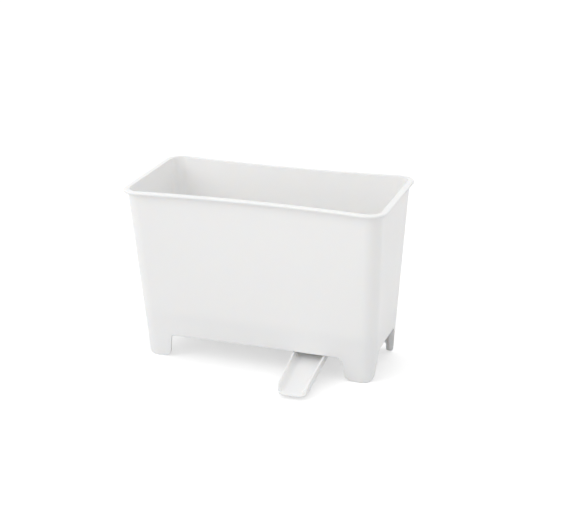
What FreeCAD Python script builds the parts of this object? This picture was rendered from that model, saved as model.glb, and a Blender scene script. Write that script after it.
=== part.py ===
import FreeCAD, Part

import math
import os

# A free-standing draining bin: one open moulded tub on four feet, with a floor that
# falls to a drain hole, and a spout that swivels under the hole and pours past the
# front edge.  Millimetres, +Z up, +X to the right, -Y towards the front.

# ---------------------------------------------------------------- driving sizes
# tub: outer walls, measured at the top and at the feet
tub_height = 204.0
rim_length = 300.0
rim_depth = 153.0
rim_overhang = 4.6          # flange beyond the wall, all round
rim_corner = 20.0           # plan radius of the rim's outer corner
rim_thickness = 1.5
rim_lip = 2.6               # the flange and its down-turned lip together
rim_lip_thickness = 1.5
rim_edge_radius = 1.0
end_taper = 9.0             # each short wall leans in by this, rim to feet
side_taper = 23.0           # each long wall leans in by this, rim to feet
side_bow = 7.0              # the long walls curve in by this at the rim
side_bow_foot = 0.3         # and by this at the feet
wall = 2.0

# floor of the tub, falling to the drain
drain_x = 61.5
floor_low = 42.5            # top of the floor beside the drain
floor_thickness = 2.5
fall_along = 2.5            # degrees, along the tub
fall_across = 3.0           # degrees, front to back
drain_flat = 20.0           # half side of the level patch round the drain
recess_depth = 3.0
seat_thickness = 2.2

# arches cut in the skirt below the floor; each stands on z = 0
front_arch_height = 28.0
front_arch_left = 102.7     # from the middle to the arch's upper left corner
front_arch_right = 100.3
front_arch_draft = 6.8      # degrees
front_left_radius = 3.0     # upper corners
front_right_radius = 9.0
front_foot_radius = 9.0     # where the leg meets the ground
end_arch_height = 36.0
end_arch_front = 35.4
end_arch_back = 33.4
end_arch_draft = 11.6
end_arch_radius = 10.0
end_foot_radius = 10.0
end_front_sink = 0.6        # the rounding runs on this far below the ground
end_back_sink = 1.2
rear_arch_height = 8.3
rear_arch_half = 124.6
rear_arch_draft = 6.8
rear_arch_radius = 1.5
rear_foot_radius = 1.5
# the turned-in edges of the front and end arches
return_thickness = 2.0
front_return = 10.0
end_return = 6.0
sole_width = 8.0            # closed underside of a front leg, beside the arch

# drain bush: a flanged sleeve from above, whose lugs carry the spout
sleeve_radius = 12.0
sleeve_wall = 1.8
bush_flange_radius = 15.0
bush_flange_thickness = 1.6
bush_length = 8.6           # sleeve below the flange
sleeve_gap = 0.1            # round the sleeve, in the floor and in the spout
lug_reach = 1.4
lug_height = 2.0
lug_width = 8.0
lug_count = 3
slit_width = 1.2
grate_spokes = 6
spoke_width = 1.6
grate_ring = 6.4            # middle radius of the grate's inner ring
grate_hub = 2.6
seal_thickness = 1.0
seal_width = 2.5

# spout: a gutter with a round bottom between two straight skirts
spout_width = 33.6          # outside, across the top edges at the tip
spout_taper = 1.4           # degrees that each side spreads towards the hub
spout_reach = 112.8         # swivel axis to the tip, seen from above
spout_height = 9.7          # outside, upright
spout_slope = 11.9          # degrees
spout_flare = 0.3           # each side, top edge to underside
spout_wall = 1.9
spout_tip_radius = 9.5      # in plan
tongue_length = 5.0         # floor beyond the side walls
spout_side_round = 7.6      # length over which the side walls round down to it
gutter_radius = 6.5         # inside, between a side and the floor
skirt_edge_radius = 1.0
spout_edge_radius = 0.6     # along its top edges
tongue_edge_radius = 0.7
hub_radius = 20.6           # round cup under the drain
hub_chamfer = 1.8
hub_plate = 2.1
hub_gap = 0.4               # hub plate below the seat
lug_gap = 0.2               # hub plate above the lugs
swing_gap = 0.4             # spout walls below the front arch

# lift-out slotted floor
grid_clearance = 0.7        # its rib above the highest part of the tub's floor
grid_thickness = 2.2
grid_gap = 1.2              # to the tub's walls
grid_rib_depth = 3.0
grid_rib_width = 1.8
slot_width = 3.6
slot_length = 34.0
slot_end = 0.8              # how far a slot's end bulges
slot_pitch = 14.0
slot_rows = 2
slot_margin = 12.0          # plate left whole at each short end
grid_band = 9.0             # plate between the two rows
finger_radius = 11.0
peg_radius = 4.0
peg_inset_x = 22.0
peg_inset_y = 12.0
seat_gap = 0.3              # peg above the tub's floor

# ---------------------------------------------------------------- derived values
wall_half_x = rim_length / 2 - rim_overhang
wall_half_y = rim_depth / 2 - rim_overhang
wall_corner = rim_corner - rim_overhang
slope = math.tan(math.radians(spout_slope))
spread = math.tan(math.radians(spout_taper))
drain_seat = floor_low - recess_depth
seat_underside = drain_seat - seat_thickness
bush_flange_low = drain_seat + seal_thickness
hub_top = seat_underside - hub_gap
hub_underside = hub_top - hub_plate
recess_radius = bush_flange_radius + 1.0
floor_rise = math.tan(math.radians(fall_along)) * (
    wall_half_x - end_taper + drain_x - drain_flat)
grid_height = floor_low + floor_rise + grid_clearance + grid_rib_depth
wall_joint = grid_height    # above the arches and the floor
beyond = 6.0                # how far a cutting tool runs past what it cuts


def vec(x, y, z):
    return FreeCAD.Vector(x, y, z)


def arc(start, middle, end):
    return Part.Arc(start, middle, end).toShape()


def line(start, end):
    return Part.LineSegment(start, end).toShape()


def box(x0, x1, y0, y1, z0, z1):
    return Part.makeBox(x1 - x0, y1 - y0, z1 - z0, vec(x0, y0, z0))


def cylinder(radius, z0, z1, x=0.0, y=0.0):
    return Part.makeCylinder(radius, z1 - z0, vec(x, y, z0))


def tube(outer, inner, z0, z1):
    return cylinder(outer, z0, z1).cut(cylinder(inner, z0 - 1, z1 + 1))


# ---------------------------------------------------------------- the tub's walls
def outline(half_x, half_y, corner, bow, z):
    """Rounded rectangle whose long sides curve inwards by bow at the middle.

    Each long side is one arc that touches its two corner arcs without a kink:
    the side circle and the corner circle touch from outside, so their centres lie
    (side radius + corner radius) apart.
    """
    centre_x = half_x - corner
    centre_y = half_y - corner
    apart = (centre_x ** 2 + bow ** 2) / (2 * bow)
    lean = math.asin(centre_x / apart)
    half_turn = (math.pi / 2 + lean) / 2
    join_x = centre_x - corner * math.sin(lean)
    join_y = centre_y + corner * math.cos(lean)
    bulge_x = centre_x + corner * math.cos(half_turn)
    bulge_y = centre_y + corner * math.sin(half_turn)
    waist = half_y - bow
    edges = [
        arc(vec(-join_x, -join_y, z), vec(0, -waist, z), vec(join_x, -join_y, z)),
        arc(vec(join_x, -join_y, z), vec(bulge_x, -bulge_y, z), vec(half_x, -centre_y, z)),
        line(vec(half_x, -centre_y, z), vec(half_x, centre_y, z)),
        arc(vec(half_x, centre_y, z), vec(bulge_x, bulge_y, z), vec(join_x, join_y, z)),
        arc(vec(join_x, join_y, z), vec(0, waist, z), vec(-join_x, join_y, z)),
        arc(vec(-join_x, join_y, z), vec(-bulge_x, bulge_y, z), vec(-half_x, centre_y, z)),
        line(vec(-half_x, centre_y, z), vec(-half_x, -centre_y, z)),
        arc(vec(-half_x, -centre_y, z), vec(-bulge_x, -bulge_y, z), vec(-join_x, -join_y, z)),
    ]
    return Part.Wire(edges)


def wall_half_depth(z):
    return wall_half_y - side_taper * (1 - z / tub_height)


def wall_bow(z):
    return side_bow_foot + (side_bow - side_bow_foot) * z / tub_height


def wall_outline(z, inset):
    """The tub's outer wall at height z, moved inwards by inset."""
    half_x = wall_half_x - end_taper * (1 - z / tub_height) - inset
    return outline(half_x, wall_half_depth(z) - inset, wall_corner - inset, wall_bow(z), z)


def wall_solid(z0, z1, inset):
    """Solid inside the wall's outline, inset, from z0 to z1.

    It is made in two storeys when it passes wall_joint, so that the arches and the
    floor trim the lower faces only.
    """
    levels = [z0, wall_joint, z1] if z0 < wall_joint < z1 else [z0, z1]
    storeys = [Part.makeLoft([wall_outline(low, inset), wall_outline(high, inset)], True, True)
               for low, high in zip(levels, levels[1:])]
    return storeys[0].fuse(storeys[1:]) if storeys[1:] else storeys[0]


def rim():
    """Flange with a down-turned lip, one profile carried round the rim's outline."""
    path = outline(rim_length / 2, rim_depth / 2, rim_corner, side_bow, tub_height)
    y_out = -(rim_depth / 2 - side_bow)
    y_in = y_out + rim_overhang + wall / 2
    top = tub_height
    turn = rim_edge_radius
    flank = turn * (1 - math.sqrt(0.5))
    profile = Part.Wire([
        line(vec(0, y_in, top), vec(0, y_out + turn, top)),
        arc(vec(0, y_out + turn, top), vec(0, y_out + flank, top - flank),
            vec(0, y_out, top - turn)),
        line(vec(0, y_out, top - turn), vec(0, y_out, top - rim_lip)),
        line(vec(0, y_out, top - rim_lip), vec(0, y_out + rim_lip_thickness, top - rim_lip)),
        line(vec(0, y_out + rim_lip_thickness, top - rim_lip),
             vec(0, y_out + rim_lip_thickness, top - rim_thickness)),
        line(vec(0, y_out + rim_lip_thickness, top - rim_thickness),
             vec(0, y_in, top - rim_thickness)),
        line(vec(0, y_in, top - rim_thickness), vec(0, y_in, top)),
    ])
    return start_at_front(path).makePipeShell([profile], True, False)


def start_at_front(path):
    """The same closed wire, opened at the middle of its front arc, where the profile is."""
    edges = path.Edges
    front = edges[0]
    first, last = front.ParameterRange
    middle = (first + last) / 2
    right_half = front.Curve.toShape(middle, last)
    left_half = front.Curve.toShape(first, middle)
    return Part.Wire([right_half] + edges[1:] + [left_half])


# ---------------------------------------------------------------- the tub's floor
def under_floor(drop):
    """Everything below the floor's surface, once that is lowered by drop.

    The floor is level round the drain and rises from there along and across the tub:
    two V-shaped slabs, crossed, leave the higher of the two surfaces everywhere.
    """
    low = floor_low - drop
    foot = -beyond
    rise_x = math.tan(math.radians(fall_along))
    rise_y = math.tan(math.radians(fall_across))
    reach_x = rim_length / 2 + beyond
    reach_y = rim_depth / 2 + beyond
    left = drain_x - drain_flat
    right = drain_x + drain_flat
    along = Part.makePolygon([
        vec(-reach_x, -reach_y, foot), vec(reach_x, -reach_y, foot),
        vec(reach_x, -reach_y, low + rise_x * (reach_x - right)),
        vec(right, -reach_y, low), vec(left, -reach_y, low),
        vec(-reach_x, -reach_y, low + rise_x * (reach_x + left)),
        vec(-reach_x, -reach_y, foot)])
    end_rise = low + rise_y * (reach_y - drain_flat)
    across = Part.makePolygon([
        vec(-reach_x, -reach_y, foot), vec(-reach_x, reach_y, foot),
        vec(-reach_x, reach_y, end_rise), vec(-reach_x, drain_flat, low),
        vec(-reach_x, -drain_flat, low), vec(-reach_x, -reach_y, end_rise),
        vec(-reach_x, -reach_y, foot)])
    ridge = Part.Face(along).extrude(vec(0, 2 * reach_y, 0))
    return ridge.fuse(Part.Face(across).extrude(vec(2 * reach_x, 0, 0)))


# ---------------------------------------------------------------- arches and legs
def arch_side(corner, height, draft, top_radius, foot_radius, sink, grow):
    """One side of an arch as points (across, up), from its top to below the ground.

    The side slopes outwards by draft degrees.  It meets the top in a round of
    top_radius and the ground in a round of foot_radius, whose circle may run on
    below the ground by sink.  grow moves the whole outline into the wall.
    """
    lean = math.radians(draft)
    sin, cos = math.sin(lean), math.cos(lean)
    tangent = math.tan((math.pi / 2 - lean) / 2)
    top = height + grow
    upper = top_radius + grow
    lower = foot_radius - grow
    corner_x = corner + grow * (1 - sin) / cos
    reach = upper * tangent
    middle = (math.pi / 2 + lean) / 2
    centre_x = corner_x - reach
    top_arc = [
        (centre_x, top),
        (centre_x + upper * math.cos(middle), top - upper + upper * math.sin(middle)),
        (corner_x + reach * sin, top - reach * cos),
    ]
    foot_x = corner + (height + sink) * math.tan(lean) + foot_radius * tangent
    foot_z = foot_radius - sink
    foot_arc = [
        (foot_x - lower * cos, foot_z - lower * sin),
        (foot_x - lower * math.cos(middle), foot_z - lower * math.sin(middle)),
        (foot_x, foot_z - lower),
    ]
    return top_arc, foot_arc


def arch(left, right, height, grow=0.0, sole=0.0):
    """Arch outline as a face in the XZ plane; left and right hold each side's sizes."""
    def place(point, sign):
        return vec(sign * point[0], 0, point[1])

    edges = []
    ends = []
    for sign, side in ((1, right), (-1, left)):
        top_arc, foot_arc = arch_side(side[0], height, *side[1:], grow)
        top_points = [place(p, sign) for p in top_arc]
        foot_points = [place(p, sign) for p in foot_arc]
        toe = foot_points[2] + vec(sign * sole, 0, 0)
        heel = vec(toe.x, 0, -beyond)
        edges += [arc(*top_points), line(top_points[2], foot_points[0]), arc(*foot_points)]
        if sole:
            edges.append(line(foot_points[2], toe))
        edges.append(line(toe, heel))
        ends.append((top_points[0], heel))
    edges.append(line(ends[0][0], ends[1][0]))
    edges.append(line(ends[0][1], ends[1][1]))
    return Part.Face(Part.Wire(Part.__sortEdges__(edges)))


front_left_side = (front_arch_left, front_arch_draft, front_left_radius, front_foot_radius, 0.0)
front_right_side = (front_arch_right, front_arch_draft, front_right_radius, front_foot_radius,
                    0.0)
end_front_side = (end_arch_front, end_arch_draft, end_arch_radius, end_foot_radius,
                  end_front_sink)
end_back_side = (end_arch_back, end_arch_draft, end_arch_radius, end_foot_radius,
                 end_back_sink)
rear_side = (rear_arch_half, rear_arch_draft, rear_arch_radius, rear_foot_radius, 0.0)


def front_arch(grow, depth, sole=0.0):
    """The front arch, reaching depth inwards from the wall's foot."""
    face = arch(front_left_side, front_right_side, front_arch_height, grow, sole)
    start = -wall_half_y - beyond
    face.translate(vec(0, start, 0))
    return face.extrude(vec(0, -wall_half_depth(0) + depth - start, 0))


def rear_arch(depth):
    face = arch(rear_side, rear_side, rear_arch_height)
    start = wall_half_y + beyond
    face.translate(vec(0, start, 0))
    return face.extrude(vec(0, wall_half_depth(0) - depth - start, 0))


def end_arch(sign, grow, depth):
    """The arch of the right (sign 1) or left (sign -1) end."""
    face = arch(end_front_side, end_back_side, end_arch_height, grow)
    face.rotate(vec(0, 0, 0), vec(0, 0, 1), 90)
    start = sign * (wall_half_x + beyond)
    face.translate(vec(start, 0, 0))
    end = sign * (wall_half_x - end_taper - depth)
    return face.extrude(vec(end - start, 0, 0))


def returns(outer):
    """The turned-in edges of the arches: each follows its arch and stops at the wall.

    In front only the two upright sides turn in, so that the spout can pass below.
    """
    front = front_arch(return_thickness, front_return, sole_width)
    span = box(-rim_length, rim_length, -rim_depth, rim_depth, front_arch_height, tub_height)
    parts = [front.cut(span)]
    for sign in (1, -1):
        parts.append(end_arch(sign, return_thickness, end_return))
    return [part.common(outer) for part in parts]


def cut_arches(shape):
    tools = [front_arch(0.0, 2 * front_return), rear_arch(2 * wall)]
    tools += [end_arch(sign, 0.0, end_return + wall_corner) for sign in (1, -1)]
    for tool in tools:
        shape = shape.cut(tool)
    return shape


def tub():
    """Walls, feet, sloping floor, drain seat and rim: one moulding."""
    outer = wall_solid(0, tub_height, 0)
    inside = wall_solid(-beyond, tub_height + beyond, wall)
    above = inside.cut(under_floor(0))
    below = inside.common(under_floor(floor_thickness))
    body = outer.cut(above).cut(below)
    for edge_return in returns(outer):
        body = body.fuse(edge_return)
    body = cut_arches(body)
    body = body.fuse(rim())
    body = body.fuse(cylinder(recess_radius + seat_thickness, seat_underside, floor_low - 0.5,
                              drain_x))
    body = body.cut(cylinder(recess_radius, drain_seat, floor_low + beyond, drain_x))
    body = body.cut(cylinder(sleeve_radius + sleeve_gap, 0, floor_low, drain_x))
    return body.removeSplitter()


# ---------------------------------------------------------------- the drain's pieces
def drain_bush():
    """Flanged sleeve with a grate across its mouth and snap lugs at its foot."""
    top = bush_flange_low + bush_flange_thickness
    foot = bush_flange_low - bush_length
    bore = sleeve_radius - sleeve_wall
    body = tube(bush_flange_radius, bore, bush_flange_low, top)
    body = body.fuse(tube(sleeve_radius, bore, foot, bush_flange_low))
    lug_top = hub_underside - lug_gap
    cone = Part.makeCone(sleeve_radius, sleeve_radius + lug_reach, lug_height,
                         vec(0, 0, lug_top - lug_height))
    cone = cone.cut(cylinder(bore, lug_top - lug_height - 1, lug_top + 1))
    slit_side = lug_width / 2 + slit_width
    for count in range(lug_count):
        turn = 360.0 * count / lug_count
        lug = cone.common(box(0, 2 * sleeve_radius, -lug_width / 2, lug_width / 2, 0, top))
        body = body.fuse(turned(lug, turn))
        for low, high in ((-slit_side, -lug_width / 2), (lug_width / 2, slit_side)):
            slit = box(0, 2 * sleeve_radius, low, high, foot - 1, hub_top)
            body = body.cut(turned(slit, turn))
    grate = cylinder(grate_hub, bush_flange_low, top)
    grate = grate.fuse(tube(grate_ring + spoke_width / 2, grate_ring - spoke_width / 2,
                            bush_flange_low, top))
    for count in range(grate_spokes):
        spoke = box(0, bore + 0.5, -spoke_width / 2, spoke_width / 2, bush_flange_low, top)
        grate = grate.fuse(turned(spoke, 360.0 * count / grate_spokes))
    return at_drain(body.fuse(grate).removeSplitter())


def drain_seal():
    inner = sleeve_radius + sleeve_gap
    return at_drain(tube(inner + seal_width, inner, drain_seat, bush_flange_low))


def turned(shape, degrees):
    copy = shape.copy()
    copy.rotate(vec(0, 0, 0), vec(0, 0, 1), degrees)
    return copy


def at_drain(shape):
    shape.translate(vec(drain_x, 0, 0))
    return shape


# ---------------------------------------------------------------- the spout
def half_across(y, length):
    """Half of the channel's width over its top edges, at y in front of the axis."""
    return spout_width / 2 + spread * (length + y)


def nose(length, low, high):
    """Upright prism over the channel's plan, with two rounded front corners."""
    back = -spout_wall
    half_back = half_across(back, length)
    # a circle that touches both the front and a side, which leans by spout_taper
    lean = math.radians(spout_taper)
    radius = spout_tip_radius
    centre_x = half_across(-length, length) + spread * radius - radius / math.cos(lean)
    centre_y = -length + radius
    middle = (math.pi / 2 + lean) / 2
    side_x = centre_x + radius * math.cos(lean)
    side_y = centre_y + radius * math.sin(lean)
    arc_x = centre_x + radius * math.sin(middle)
    arc_y = centre_y - radius * math.cos(middle)
    edges = [line(vec(half_back, back, low), vec(-half_back, back, low)),
             line(vec(-centre_x, -length, low), vec(centre_x, -length, low))]
    for sign in (1, -1):
        side = vec(sign * side_x, side_y, low)
        edges.append(line(vec(sign * half_back, back, low), side))
        edges.append(arc(side, vec(sign * arc_x, arc_y, low),
                         vec(sign * centre_x, -length, low)))
    face = Part.Face(Part.Wire(Part.__sortEdges__(edges)))
    return face.extrude(vec(0, 0, high - low))


def trough(inset, low, high, back, front, length, radius=0.0):
    """Solid with flat, spreading, leaning sides, and round lower edges along it.

    Its sides are the channel's outside moved in by inset, from back to front and from
    low to high.
    """
    corners = []
    for z in (low, high):
        shift = spout_flare * z / spout_height - inset
        half_back = half_across(back, length) + shift
        half_front = half_across(front, length) + shift
        corners.append([vec(-half_back, back, z), vec(half_back, back, z),
                        vec(half_front, front, z), vec(-half_front, front, z)])
    foot, head = corners
    faces = [Part.Face(Part.makePolygon(ring + ring[:1])) for ring in corners]
    for here, there in ((0, 1), (1, 2), (2, 3), (3, 0)):
        faces.append(Part.Face(Part.makePolygon(
            [foot[here], foot[there], head[there], head[here], foot[here]])))
    body = Part.makeSolid(Part.makeShell(faces))
    return body.makeFillet(radius, along(body, low, length)) if radius else body


def along(body, level, length):
    """The body's long edges that lie at the given level."""
    return [edge for edge in body.Edges
            if abs(edge.BoundBox.ZMax - level) < 0.02 and edge.BoundBox.YLength > length / 2]


def tip_cut(length, depth, high):
    """What is taken off the side walls, so that they round down to the tongue."""
    shoulder = -(length - tongue_length - spout_side_round)
    foot = vec(0, shoulder - depth, -depth)
    middle = vec(0, shoulder - depth * math.sqrt(0.5), -depth * (1 - math.sqrt(0.5)))
    front = -length - beyond
    side = Part.Face(Part.Wire([
        arc(vec(0, shoulder, 0), middle, foot),
        line(foot, vec(0, front, -depth)),
        line(vec(0, front, -depth), vec(0, front, high)),
        line(vec(0, front, high), vec(0, shoulder, high)),
        line(vec(0, shoulder, high), vec(0, shoulder, 0)),
    ]))
    side.translate(vec(-spout_width, 0, 0))
    return side.extrude(vec(2 * spout_width, 0, 0))


def tilted(shape, height):
    shape.rotate(vec(0, 0, 0), vec(1, 0, 0), spout_slope)
    shape.translate(vec(0, 0, height))
    return shape


def top_edge_at_axis():
    """Height of the spout's top edges, carried back to the swivel axis.

    They pass under the front arch with swing_gap to spare at their nearest, which is
    where a wall of the turning spout crosses the inside of the skirt at a right angle.
    """
    skirt = wall_half_depth(front_arch_height) - wall - wall_bow(front_arch_height)
    nearest = math.sqrt(skirt ** 2 - half_across(-skirt, spout_reach) ** 2)
    return front_arch_height - swing_gap + slope * nearest


def channel_outside(length, outer_depth):
    """The channel's outer shape, level: a round-bottomed gutter between two skirts.

    The corners between the gutter's underside and the skirts are hollow up to where
    the side walls start to round down.
    """
    back = -spout_wall
    past = -length - beyond
    block = trough(0, -outer_depth, 0, back, past, length, skirt_edge_radius)
    gutter = trough(0, -outer_depth, 0, back, past, length, gutter_radius + spout_wall)
    shoulder = -(length - tongue_length - spout_side_round)
    hollow = trough(spout_wall, -outer_depth - beyond, -outer_depth / 2,
                    -hub_radius - 1, shoulder, length)
    return block.cut(hollow.cut(gutter))


def drain_spout():
    """Round cup under the drain, and an open channel that slopes down to its tip."""
    lean = math.radians(spout_slope)
    outer_depth = spout_height * math.cos(lean)
    depth = outer_depth - spout_wall
    top = top_edge_at_axis()
    length = (spout_reach + depth * math.sin(lean)) / math.cos(lean)

    # the channel is made level, then tilted down to the front
    space = trough(spout_wall, -depth, beyond, 0, -length - beyond, length, gutter_radius)
    walls = channel_outside(length, outer_depth).cut(space)
    walls = walls.makeFillet(spout_edge_radius, along(walls, 0, length))
    channel = walls.common(nose(length, -spout_height, beyond))
    channel = channel.cut(tip_cut(length, depth, beyond)).removeSplitter()
    wall_foot = -(length - tongue_length - spout_side_round) - depth
    tongue = [edge for edge in channel.Edges
              if abs(edge.BoundBox.ZMax + depth) < 0.02 and edge.BoundBox.ZLength < 0.02
              and edge.BoundBox.YMin < wall_foot - 0.05]
    channel = channel.makeFillet(tongue_edge_radius, tongue)
    channel = tilted(channel, top)
    space = tilted(space, top)

    cup_radius = hub_radius - spout_wall
    cup_floor = top - slope * cup_radius - depth / math.cos(lean)
    cup = cylinder(hub_radius, cup_floor - spout_wall, hub_top)
    cup = cup.makeChamfer(hub_chamfer, [cup.Edges[index] for index in lowest(cup)])
    body = cup.fuse(channel)
    body = body.cut(cylinder(cup_radius, cup_floor, hub_underside))
    body = body.cut(space.cut(cylinder(hub_radius + 1, hub_underside, hub_top + beyond)))
    return at_drain(body.cut(cylinder(sleeve_radius + sleeve_gap, cup_floor, hub_top + 1)))


def lowest(shape):
    """Indices of the edges that lie in the shape's lowest plane."""
    floor = min(edge.BoundBox.ZMin for edge in shape.Edges)
    return [index for index, edge in enumerate(shape.Edges)
            if edge.BoundBox.ZMax < floor + 0.01]


# ---------------------------------------------------------------- the slotted floor
def slot(x, y):
    """Upright cutter for one slot that runs front to back, with bulging ends."""
    half = slot_length / 2 - slot_end
    r = slot_width / 2
    low = grid_height - grid_rib_depth - 1
    edges = [
        line(vec(x - r, y - half, low), vec(x - r, y + half, low)),
        arc(vec(x - r, y + half, low), vec(x, y + half + slot_end, low),
            vec(x + r, y + half, low)),
        line(vec(x + r, y + half, low), vec(x + r, y - half, low)),
        arc(vec(x + r, y - half, low), vec(x, y - half - slot_end, low),
            vec(x - r, y - half, low)),
    ]
    height = grid_thickness + grid_rib_depth + 2
    return Part.Face(Part.Wire(edges)).extrude(vec(0, 0, height))


def floor_grid():
    """Slotted plate on pegs, which lifts out of the tub by its finger hole."""
    top = grid_height + grid_thickness
    plate = wall_solid(grid_height, top, wall + grid_gap)
    skirt_low = grid_height - grid_rib_depth
    ring = wall_solid(skirt_low, grid_height, wall + grid_gap)
    ring = ring.cut(wall_solid(skirt_low - 1, grid_height, wall + grid_gap + grid_rib_width))
    half_x = wall_half_x - end_taper * (1 - grid_height / tub_height) - wall - grid_gap
    half_y = wall_half_depth(grid_height) - wall - grid_gap
    reach = half_x - slot_margin
    columns = int(2 * reach / slot_pitch) + 1
    row_y = (grid_band + slot_length) / 2
    slots = []
    for column in range(columns):
        x = (column - (columns - 1) / 2) * slot_pitch
        for row in range(slot_rows):
            y = (row - (slot_rows - 1) / 2) * 2 * row_y
            if math.hypot(x, abs(y) - slot_length / 2) > finger_radius + 2 * slot_width:
                slots.append(slot(x, y))
    body = plate.fuse(ring).cut(Part.makeCompound(slots))
    body = body.cut(cylinder(finger_radius, skirt_low, top + 1))
    peg_x = half_x - peg_inset_x
    peg_y = half_y - peg_inset_y
    pegs = []
    for x in (-peg_x, 0, peg_x):
        for y in (-peg_y, peg_y):
            pegs.append(cylinder(peg_radius, 0, grid_height + grid_thickness / 2, x, y))
    pegs = Part.makeCompound(pegs).cut(under_floor(-seat_gap))
    for peg in pegs.Solids:
        body = body.fuse(peg)
    return body.removeSplitter()


# ---------------------------------------------------------------- write the pieces
def main():
    # the origin is the middle of the floor area that the whole object takes up
    middle_y = (rim_depth / 2 - spout_reach) / 2
    pieces = {
        "tub": tub(),
        "drain_bush": drain_bush(),
        "drain_seal": drain_seal(),
        "drain_spout": drain_spout(),
        "floor_grid": floor_grid(),
    }
    os.makedirs("parts", exist_ok=True)
    for name, shape in pieces.items():
        shape.translate(vec(0, -middle_y, 0))
        shape.exportStep("parts/" + name + ".step")
        size = shape.BoundBox
        print("%-12s solids %d  valid %s  volume %.1f cm3  z %.1f..%.1f  y %.1f..%.1f" % (
            name, len(shape.Solids), shape.isValid(), shape.Volume / 1000,
            size.ZMin, size.ZMax, size.YMin, size.YMax))
    print("swivel axis at x %.2f, y %.2f" % (drain_x, -middle_y))


main()
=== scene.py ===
# %% [markdown]
# # A draining tub with a swivel spout
#
# The object is a white moulded tub on four short feet. Water that drips from what
# stands in it falls through a slotted floor, runs down a sloping bottom to a bush, and
# leaves through an open spout that swivels under the tub.
#
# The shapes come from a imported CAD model. This lesson redraws one detail of the tub,
# gives each piece the finish that the real moulding has, and then lights and frames it.

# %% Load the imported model
import math

import bpy
import numpy as np
from mathutils import Matrix, Vector


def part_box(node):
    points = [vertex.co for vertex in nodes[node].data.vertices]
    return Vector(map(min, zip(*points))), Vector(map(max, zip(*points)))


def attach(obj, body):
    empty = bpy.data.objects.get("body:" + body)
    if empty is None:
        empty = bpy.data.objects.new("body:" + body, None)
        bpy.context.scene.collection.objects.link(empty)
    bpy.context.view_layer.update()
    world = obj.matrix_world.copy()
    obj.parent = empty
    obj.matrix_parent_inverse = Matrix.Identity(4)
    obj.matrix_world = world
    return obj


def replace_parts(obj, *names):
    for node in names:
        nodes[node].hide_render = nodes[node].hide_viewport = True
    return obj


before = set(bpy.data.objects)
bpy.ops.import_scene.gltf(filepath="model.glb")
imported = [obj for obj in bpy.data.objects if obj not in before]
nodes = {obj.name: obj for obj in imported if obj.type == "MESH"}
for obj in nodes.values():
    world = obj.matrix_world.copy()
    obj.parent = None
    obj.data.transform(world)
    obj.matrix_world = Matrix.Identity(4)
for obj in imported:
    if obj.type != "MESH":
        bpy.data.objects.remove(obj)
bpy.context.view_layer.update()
print("nodes:", sorted(nodes))

# %% [markdown]
# ## Where things are
#
# Everything is placed from the CAD boxes, so nothing has to be fitted by eye. The tub's
# own box gives the middle that the camera looks at, and the height of the rim.

# %% Read the sizes that the scene needs
tub_low, tub_high = (np.array(corner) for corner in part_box("tub"))
tub_middle = (tub_low + tub_high) / 2
tub_height = float(tub_high[2])
print("tub middle:", tub_middle.round(4), "height:", round(tub_height, 4))

# %% [markdown]
# ## The camera
#
# A long lens some way off keeps the tub's sides nearly parallel, as in a product
# picture. The camera stands to the front and right, a little above, and is rolled by
# half a degree. A small lens shift puts the tub where it belongs in the frame without
# turning the camera, so the upright edges keep their slant.

# %% Stand the camera
CAMERA_AZIMUTH = math.radians(19.43)
CAMERA_ELEVATION = math.radians(21.03)
CAMERA_ROLL = math.radians(-0.56)
CAMERA_DISTANCE = 1.5518
SENSOR_WIDTH = 36.0
LENS = 86.83
SHIFT_RIGHT = 0.0222
SHIFT_UP = 0.0246
NEAR, FAR = 0.05, 30.0        # the depth that the camera draws


def camera_frame(azimuth, elevation, roll):
    """Right, up and backward unit vectors of a camera that looks at a point.

    Backward points from the target to the camera: azimuth turns it from -Y towards +X,
    and elevation lifts it. Roll then turns right and up about it.
    """
    back = Vector((math.sin(azimuth) * math.cos(elevation),
                   -math.cos(azimuth) * math.cos(elevation),
                   math.sin(elevation)))
    right = (-back).cross(Vector((0, 0, 1))).normalized()
    up = right.cross(-back)
    turned_right = right * math.cos(roll) + up * math.sin(roll)
    turned_up = up * math.cos(roll) - right * math.sin(roll)
    return turned_right, turned_up, back


right, up, back = camera_frame(CAMERA_AZIMUTH, CAMERA_ELEVATION, CAMERA_ROLL)
camera_data = bpy.data.cameras.new("camera")
camera_data.sensor_width = SENSOR_WIDTH
camera_data.lens = LENS
camera_data.shift_x = SHIFT_RIGHT
camera_data.shift_y = SHIFT_UP
camera_data.clip_start = NEAR
camera_data.clip_end = FAR
camera = bpy.data.objects.new("camera", camera_data)
target = Vector((tub_middle[0], tub_middle[1], tub_height / 2))
turn = Matrix((right, up, back)).transposed().to_4x4()
camera.matrix_world = Matrix.Translation(target + back * CAMERA_DISTANCE) @ turn
bpy.context.scene.collection.objects.link(camera)
bpy.context.scene.camera = camera
print("camera at", [round(v, 3) for v in camera.location])

# %% [markdown]
# ## A narrower turn at the front arch
#
# Each front leg is an angle in plan: at the arch its front wall ends in a turned-in
# edge. In the CAD model that edge runs 10 mm inwards. On the real tub hardly more than
# the wall's own thickness shows there. The piece below stands for the tub: the same
# surface, welded, with the turned-in edges ending just behind the wall. A squeeze moves
# only the points of those edges, so the surface stays closed.

# %% Squeeze the turned-in edges
RETURN_END = -0.02075         # y where both turned-in edges end in the CAD model
RETURN_SPAN = 0.092, 0.116    # they lie this far from the middle, left and right
RETURN_TOP = 0.029            # and below this height
WALL_BACK = -0.0286           # y just behind the front wall, at the foot
WALL_LEAN = 0.105             # how far the wall leans forward for each unit up
KEPT_DEPTH = 0.04             # share of the depth behind the wall that is kept
CLOSE = 1e-5                  # points nearer than this count as being at RETURN_END


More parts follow.
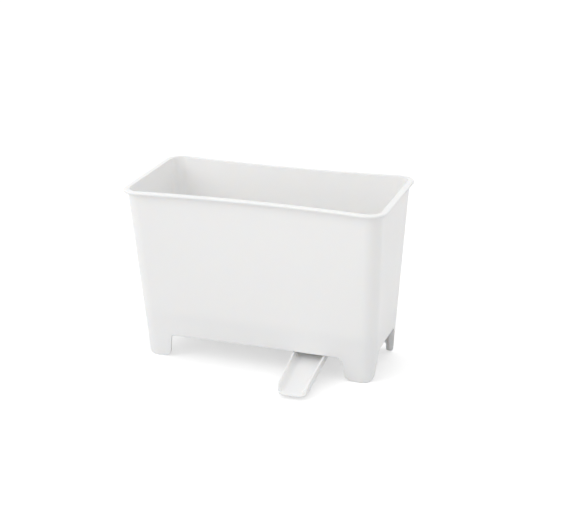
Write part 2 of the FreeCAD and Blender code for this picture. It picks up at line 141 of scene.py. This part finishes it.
def shallow_returns(points):
    """Squeezes the turned-in edges towards the leaning front wall.

    The plane y0 = WALL_BACK - WALL_LEAN z lies just behind the wall. A point of the edges
    at y > y0 moves to y0 + KEPT_DEPTH (y - y0); all other points stay.
    """
    moved = points.copy()
    across, along, height = np.abs(points[:, 0]), points[:, 1], points[:, 2]
    plane = WALL_BACK - WALL_LEAN * height
    nearest, farthest = RETURN_SPAN
    behind = (along > plane) & (along < RETURN_END + CLOSE) & (height < RETURN_TOP)
    behind &= (across > nearest) & (across < farthest)
    moved[behind, 1] = (plane + KEPT_DEPTH * (along - plane))[behind]
    print("moved", int(behind.sum()), "points of", len(points))
    return moved


# %% [markdown]
# ## The tub's shell
#
# The CAD node is a heap of loose triangles, each with its own three points. Points that
# agree are made one, so that the triangles share their edges. The CAD's smooth normals
# belong to the corners of the triangles, and are carried over in the same order.

# %% Weld the tub and stand it in for the CAD node
WELD_DIGITS = 6               # points that agree to the micrometre are one point


def read(collection, field, kind, width):
    """One field of a mesh collection as an array with width columns."""
    values = np.empty(len(collection) * width, kind)
    collection.foreach_get(field, values)
    return values.reshape(-1, width)


def tub_with_shallow_returns():
    """The tub's surface with equal points welded, and its own smooth normals kept."""
    cad = nodes["tub"].data
    points = read(cad.vertices, "co", np.float32, 3).astype(float).round(WELD_DIGITS)
    points, weld = np.unique(points, axis=0, return_inverse=True)
    corners = weld.reshape(-1)[read(cad.loops, "vertex_index", np.int32, 1)]
    mesh = bpy.data.meshes.new("tub_shell")
    faces = corners.reshape(-1, 3)
    mesh.from_pydata(shallow_returns(points).tolist(), [], faces.tolist())
    mesh.shade_smooth()
    normals = read(cad.corner_normals, "vector", np.float32, 3)
    mesh.normals_split_custom_set(normals.tolist())
    mesh.materials.append(None)
    shell = bpy.data.objects.new("tub_shell", mesh)
    bpy.context.scene.collection.objects.link(shell)
    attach(shell, "tub")
    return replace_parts(shell, "tub")


tub_shell = tub_with_shallow_returns()
print(len(nodes["tub"].data.vertices), "points became", len(tub_shell.data.vertices))

# %% [markdown]
# ## Building node materials
#
# Every finish here is a small network of nodes. Three helpers keep the networks short:
# one adds a node and sets its inputs, one joins two sockets, and one carries a range of
# values to another range.

# %% Helpers for node networks
def add_node(tree, kind, x=0, y=0, **settings):
    """Adds a node at (x, y); settings name its properties, or its inputs in title case."""
    node = tree.nodes.new(kind)
    node.location = (x, y)
    for name, value in settings.items():
        if hasattr(node, name):
            setattr(node, name, value)
        else:
            node.inputs[name.replace("_", " ")].default_value = value
    return node


def join(tree, source, output, goal, name):
    tree.links.new(source.outputs[output], goal.inputs[name])


def remap(tree, source, output, x, y, span=(0.0, 1.0), goal=(0.0, 1.0)):
    """Carries the values of source's output from span to goal, and stops at its ends."""
    node = add_node(tree, "ShaderNodeMapRange", x, y)
    for name, value in zip(("From Min", "From Max", "To Min", "To Max"), span + goal):
        node.inputs[name].default_value = value
    join(tree, source, output, node, "Value")
    return node


# %% [markdown]
# ## Edges of a moulding
#
# A steel mould never leaves a knife edge: every corner of the tub, its arches and its
# spout has a radius of half a millimetre or so, which catches a fine line of light. The
# CAD model leaves the smallest of these out. A Bevel node gives them back to the
# shading: it looks around each point and blends the directions of the faces nearby. How
# far that blend turns from the true face also tells where the edges are, so that they
# can be rubbed a little duller than the rest.

# %% Define soft edges
EDGE_RADIUS = 0.0009
EDGE_COSINE = 0.9             # a turn of about 25 degrees counts as an edge in full


def soft_edges(tree, x, y):
    """Returns the Bevel node, and a node that is 1 on an edge and 0 on a face.

    The second goes with 1 - (rounded direction . true direction), and reaches 1 where
    that product has fallen to EDGE_COSINE.
    """
    rounded = add_node(tree, "ShaderNodeBevel", x, y, samples=6, Radius=EDGE_RADIUS)
    true = add_node(tree, "ShaderNodeNewGeometry", x, y - 180)
    same = add_node(tree, "ShaderNodeVectorMath", x + 200, y, operation="DOT_PRODUCT")
    join(tree, rounded, "Normal", same, 0)
    join(tree, true, "Normal", same, 1)
    edge = remap(tree, same, "Value", x + 400, y, (1.0, EDGE_COSINE))
    return rounded, edge


print("edges are rounded by", EDGE_RADIUS, "m in the shading")

# %% [markdown]
# ## Wear
#
# A tub like this is rubbed in two places: on its edges, and under its feet, where it
# slides on the worktop. The marks are short and mostly level, so the noise that draws
# them is squeezed along Z.

# %% Define the scuffs
SCRATCH_SCALE = 220.0         # noise cells in a metre, as in every Scale here
SCRATCH_SQUEEZE = (1.0, 1.0, 6.0)


def scuffs(tree, place, edge, scuff_height):
    """Stretched noise, kept where the edge node is 1 or Z is below scuff_height."""
    stretch = add_node(tree, "ShaderNodeMapping", -1400, -50, Scale=SCRATCH_SQUEEZE)
    join(tree, place, "Object", stretch, "Vector")
    scratches = add_node(tree, "ShaderNodeTexNoise", -1200, -50, Scale=SCRATCH_SCALE,
                         Detail=4.0)
    join(tree, stretch, "Vector", scratches, "Vector")
    split = add_node(tree, "ShaderNodeSeparateXYZ", -1400, -300)
    join(tree, place, "Object", split, "Vector")
    low = remap(tree, split, "Z", -1200, -300, (scuff_height, 0.0))
    where = add_node(tree, "ShaderNodeMath", -1000, -300, operation="MAXIMUM")
    join(tree, low, "Result", where, 0)
    join(tree, edge, "Result", where, 1)
    worn = add_node(tree, "ShaderNodeMath", -800, -200, operation="MULTIPLY")
    join(tree, scratches, "Fac", worn, 0)
    join(tree, where, "Value", worn, 1)
    return worn


print("scuffs are about", round(1000 / SCRATCH_SCALE, 1), "mm long")

# %% [markdown]
# ## Moulded plastic
#
# Polypropylene fresh from a steel mould is neither flat nor glossy. It has three layers
# of detail: a fine even grain left by the mould, slow patches where the surface cooled
# at different speeds, which change how sharply it reflects, and the dull rubbing that
# use leaves. The white pigment is dense, so only a little light sinks in and comes out
# nearby. All of it reads Object coordinates, in metres, so the scale of each pattern is
# real.

# %% Define the moulded plastic
SCATTER_SHARE = 0.6           # share of the light that sinks in before it comes out
SCATTER_DEPTH = 0.002
SCATTER_TINT = (1.0, 0.9, 0.8)
PLASTIC_IOR = 1.49
PATCH_SCALE = 16.0
PATCH_SHADES = 0.99, 1.0
GLOSS_SPREAD = 0.05
SCUFF_GREY = (0.45, 0.44, 0.42, 1.0)
SCUFF_TINT = 0.08
SCUFF_DULL = 0.3
GRAIN_SCALE = 1600.0
GRAIN_HEIGHT = 0.0002


def moulded_plastic(name, colour, roughness=0.38, grain=0.08, scuff_height=0.012):
    """White moulded plastic.

    Grain: noise of about 0.6 mm bends the surface a little. Patches: noise of about
    60 mm moves roughness, and brightness by one part in a hundred. Scuffs: stretched
    noise, shown only below scuff_height and on edges, dulls and greys the plastic.
    """
    material = bpy.data.materials.new(name)
    material.use_nodes = True
    tree = material.node_tree
    shader = tree.nodes["Principled BSDF"]
    shader.inputs["Subsurface Weight"].default_value = SCATTER_SHARE
    shader.inputs["Subsurface Scale"].default_value = SCATTER_DEPTH
    shader.inputs["Subsurface Radius"].default_value = SCATTER_TINT
    shader.inputs["IOR"].default_value = PLASTIC_IOR
    place = add_node(tree, "ShaderNodeTexCoord", -1600, 0)
    rounded, edge = soft_edges(tree, -1600, -700)
    worn = scuffs(tree, place, edge, scuff_height)
    patches = add_node(tree, "ShaderNodeTexNoise", -1300, 300, Scale=PATCH_SCALE,
                       Detail=3.0)
    join(tree, place, "Object", patches, "Vector")

    shade = remap(tree, patches, "Fac", -800, 300, (0.35, 0.65), PATCH_SHADES)
    tone = add_node(tree, "ShaderNodeVectorMath", -560, 300, operation="SCALE")
    tone.inputs[0].default_value = colour
    join(tree, shade, "Result", tone, "Scale")
    grey = add_node(tree, "ShaderNodeMix", -340, 250, data_type="RGBA")
    grey.inputs["B"].default_value = SCUFF_GREY
    join(tree, tone, "Vector", grey, "A")
    tint = add_node(tree, "ShaderNodeMath", -560, 60, operation="MULTIPLY")
    tint.inputs[1].default_value = SCUFF_TINT
    join(tree, worn, "Value", tint, 0)
    join(tree, tint, "Value", grey, "Factor")
    join(tree, grey, "Result", shader, "Base Color")

    gloss = remap(tree, patches, "Fac", -560, -120, (0.3, 0.7),
                  (roughness - GLOSS_SPREAD, roughness + GLOSS_SPREAD))
    dull = add_node(tree, "ShaderNodeMath", -340, -120, operation="MULTIPLY_ADD")
    dull.inputs[1].default_value = SCUFF_DULL
    join(tree, worn, "Value", dull, 0)
    join(tree, gloss, "Result", dull, 2)
    join(tree, dull, "Value", shader, "Roughness")

    pores = add_node(tree, "ShaderNodeTexNoise", -800, -500, Scale=GRAIN_SCALE, Detail=2.0)
    join(tree, place, "Object", pores, "Vector")
    bump = add_node(tree, "ShaderNodeBump", -340, -500, Strength=grain,
                    Distance=GRAIN_HEIGHT)
    join(tree, pores, "Fac", bump, "Height")
    join(tree, rounded, "Normal", bump, "Normal")
    join(tree, bump, "Normal", shader, "Normal")
    return material


def give(piece, material):
    """The piece keeps its mesh and takes this material in every slot."""
    for slot in piece.material_slots:
        slot.material = material
    print(piece.name, "is now", material.name)


# %% [markdown]
# ## One white for all the mouldings
#
# The tub, its spout and the pieces inside are moulded in the same white plastic. The
# bush comes out a touch darker and smoother, because it is small and cools quickly.

# %% Give each moulding its plastic
WHITE = (0.95, 0.948, 0.943)
BUSH_WHITE = (0.93, 0.93, 0.92)
give(tub_shell, moulded_plastic("tub_plastic", WHITE))
give(nodes["drain_spout"], moulded_plastic("spout_plastic", WHITE, scuff_height=0.006))
give(nodes["floor_grid"], moulded_plastic("grid_plastic", WHITE, roughness=0.42))
give(nodes["drain_bush"], moulded_plastic("bush_plastic", BUSH_WHITE, roughness=0.3))

# %% [markdown]
# ## The seal
#
# The ring under the bush is soft grey rubber. Rubber reflects little and broadly, and
# has a finer, blotchier grain than the plastic.

# %% Define the seal's rubber
RUBBER_GREY = (0.30, 0.30, 0.29)
RUBBER_SCALE = 900.0
DARKER = 0.85                 # brightness of the dark blotches
RUBBER_ROUGHNESS = 0.65, 0.85


def seal_rubber(name, colour):
    """Matt rubber: noise of about 1 mm shades it, and the same noise roughens it."""
    material = bpy.data.materials.new(name)
    material.use_nodes = True
    tree = material.node_tree
    shader = tree.nodes["Principled BSDF"]
    place = add_node(tree, "ShaderNodeTexCoord", -900, 0)
    bloom = add_node(tree, "ShaderNodeTexNoise", -700, 0, Scale=RUBBER_SCALE, Detail=4.0)
    join(tree, place, "Object", bloom, "Vector")
    ramp = add_node(tree, "ShaderNodeValToRGB", -450, 100)
    ramp.color_ramp.elements[0].color = tuple(DARKER * c for c in colour) + (1.0,)
    ramp.color_ramp.elements[1].color = tuple(colour) + (1.0,)
    join(tree, bloom, "Fac", ramp, "Fac")
    join(tree, ramp, "Color", shader, "Base Color")
    rough = remap(tree, bloom, "Fac", -450, -150, goal=RUBBER_ROUGHNESS)
    join(tree, rough, "Result", shader, "Roughness")
    return material


give(nodes["drain_seal"], seal_rubber("seal_rubber", RUBBER_GREY))

# %% [markdown]
# ## Floor and backdrop
#
# The tub stands on a plain pale floor that runs out of sight. The floor is lit like the
# object and keeps its shadow; some extra brightness, which only the camera and sharp
# reflections see, lifts it to white without putting more light on the tub.

# %% Tell looking from lighting
def looked_at(tree):
    """A node that is 1 for rays that show a surface, and 0 for those that light one."""
    ray = add_node(tree, "ShaderNodeLightPath", -900, -300)
    shiny = add_node(tree, "ShaderNodeMath", -750, -300, operation="MAXIMUM")
    join(tree, ray, "Is Camera Ray", shiny, 0)
    join(tree, ray, "Is Glossy Ray", shiny, 1)
    both = add_node(tree, "ShaderNodeMath", -600, -300, operation="MAXIMUM")
    join(tree, shiny, "Value", both, 0)
    join(tree, ray, "Is Transmission Ray", both, 1)
    return both


# %% Lay the floor
FLOOR_SIZE = 24.0
FLOOR_COLOUR = (0.72, 0.72, 0.72, 1.0)
FLOOR_LIFT = 0.48


def pale_floor():
    """A flat square at z = 0: matt, with extra emission on camera and glossy rays."""
    half = FLOOR_SIZE / 2
    corners = [(-half, -half, 0), (half, -half, 0), (half, half, 0), (-half, half, 0)]
    mesh = bpy.data.meshes.new("floor")
    mesh.from_pydata(corners, [], [(0, 1, 2, 3)])
    floor = bpy.data.objects.new("floor", mesh)
    bpy.context.scene.collection.objects.link(floor)
    material = bpy.data.materials.new("floor_pale")
    material.use_nodes = True
    tree = material.node_tree
    shader = tree.nodes["Principled BSDF"]
    shader.inputs["Base Color"].default_value = FLOOR_COLOUR
    shader.inputs["Roughness"].default_value = 1.0
    shader.inputs["Specular IOR Level"].default_value = 0.0
    glow = add_node(tree, "ShaderNodeEmission", -300, -400)
    lift = add_node(tree, "ShaderNodeMath", -450, -300, operation="MULTIPLY")
    lift.inputs[1].default_value = FLOOR_LIFT
    join(tree, looked_at(tree), "Value", lift, 0)
    join(tree, lift, "Value", glow, "Strength")
    both = add_node(tree, "ShaderNodeAddShader", 200, 0)
    join(tree, shader, "BSDF", both, 0)
    join(tree, glow, "Emission", both, 1)
    join(tree, both, "Shader", tree.nodes["Material Output"], "Surface")
    floor.data.materials.append(material)
    return floor


pale_floor()
print("floor of", FLOOR_SIZE, "m laid")

# %% [markdown]
# ## Light
#
# Product pictures of white plastic use a bright tent: light from nearly everywhere, a
# little more from one side so that the faces still differ. The world is that tent, and
# one large soft lamp, in front and to the left, is its brighter side.

# %% Light the scene
WORLD_STRENGTH = 0.87
LAMPS = {
    # name: (place, size, power in watts)
    "window": ((-1.34, -1.21, 1.36), 1.4, 9.5),
}


def white_world(strength):
    """White to look at, and a plain dimmer white to light the tub with."""
    world = bpy.data.worlds.new("studio")
    world.use_nodes = True
    tree = world.node_tree
    sky = tree.nodes["Background"]
    sky.inputs["Color"].default_value = (1, 1, 1, 1)
    level = remap(tree, looked_at(tree), "Value", -300, 0, goal=(strength, 1.0))
    join(tree, level, "Result", sky, "Strength")
    return world


def soft_lamp(name, place, size, power):
    """A square area lamp at place, turned to face the middle of the tub."""
    data = bpy.data.lights.new(name, "AREA")
    data.size = size
    data.energy = power
    lamp = bpy.data.objects.new(name, data)
    lamp.location = place
    facing = target - Vector(place)
    lamp.rotation_euler = facing.to_track_quat("-Z", "Y").to_euler()
    bpy.context.scene.collection.objects.link(lamp)
    return lamp


bpy.context.scene.world = white_world(WORLD_STRENGTH)
for lamp_name, (place, size, power) in LAMPS.items():
    soft_lamp(lamp_name, place, size, power)
bpy.context.scene.view_settings.view_transform = "Standard"
print("lamps:", list(LAMPS))

# %% [markdown]
# ## The end
#
# Nothing more is built here; the last cell prints a closing line. The visual model
# must stay as large as the CAD model.

# %% Close
print("scene set up")
